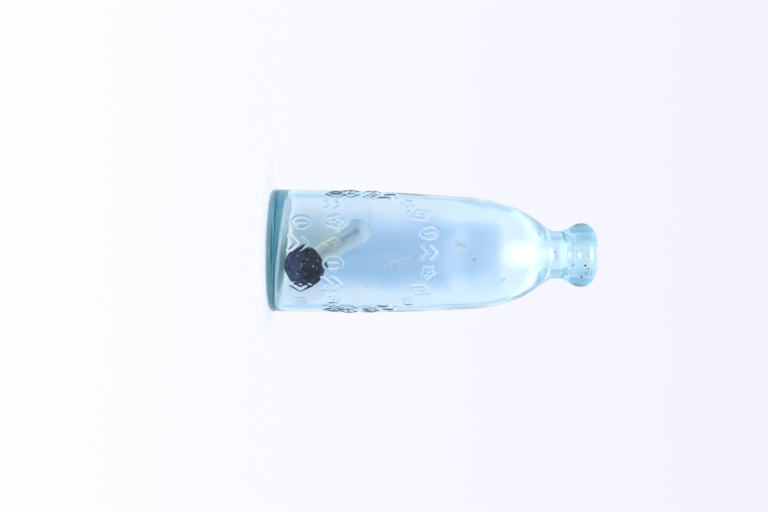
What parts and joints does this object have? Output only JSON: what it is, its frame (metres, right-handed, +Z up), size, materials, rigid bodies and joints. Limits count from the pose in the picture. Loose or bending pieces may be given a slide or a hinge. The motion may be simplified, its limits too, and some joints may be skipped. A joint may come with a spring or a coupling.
{
  "type": "internal stopper bottle",
  "caption": "Aqua glass soda bottle with an applied lip and a loose glass and rubber stopper inside that seals the throat.",
  "frame": {"origin": "centre of the base, on the plane that the bottle stands on", "axes": "+Z up the bottle's axis through the mouth; +Y towards the side that the stopper leans on"},
  "size_m": [0.0674, 0.0674, 0.1784],
  "materials": {
    "aqua_glass": "blown glass, fire polished",
    "clear_glass": "pressed glass, stained",
    "aged_rubber": "aged, cracked, dull"
  },
  "bodies": {
    "bottle": {"bottle_body": "aqua_glass", "applied_lip": "aqua_glass"},
    "stopper": {"stopper_plug": "clear_glass", "stopper_gasket": "aged_rubber"}
  },
  "joints": [
    {"name": "stopper_slide", "type": "slide", "parent": "bottle", "child": "stopper", "axis": [0, -0.1392, 0.9903], "range_m": [0, 0.088]}
  ]
}
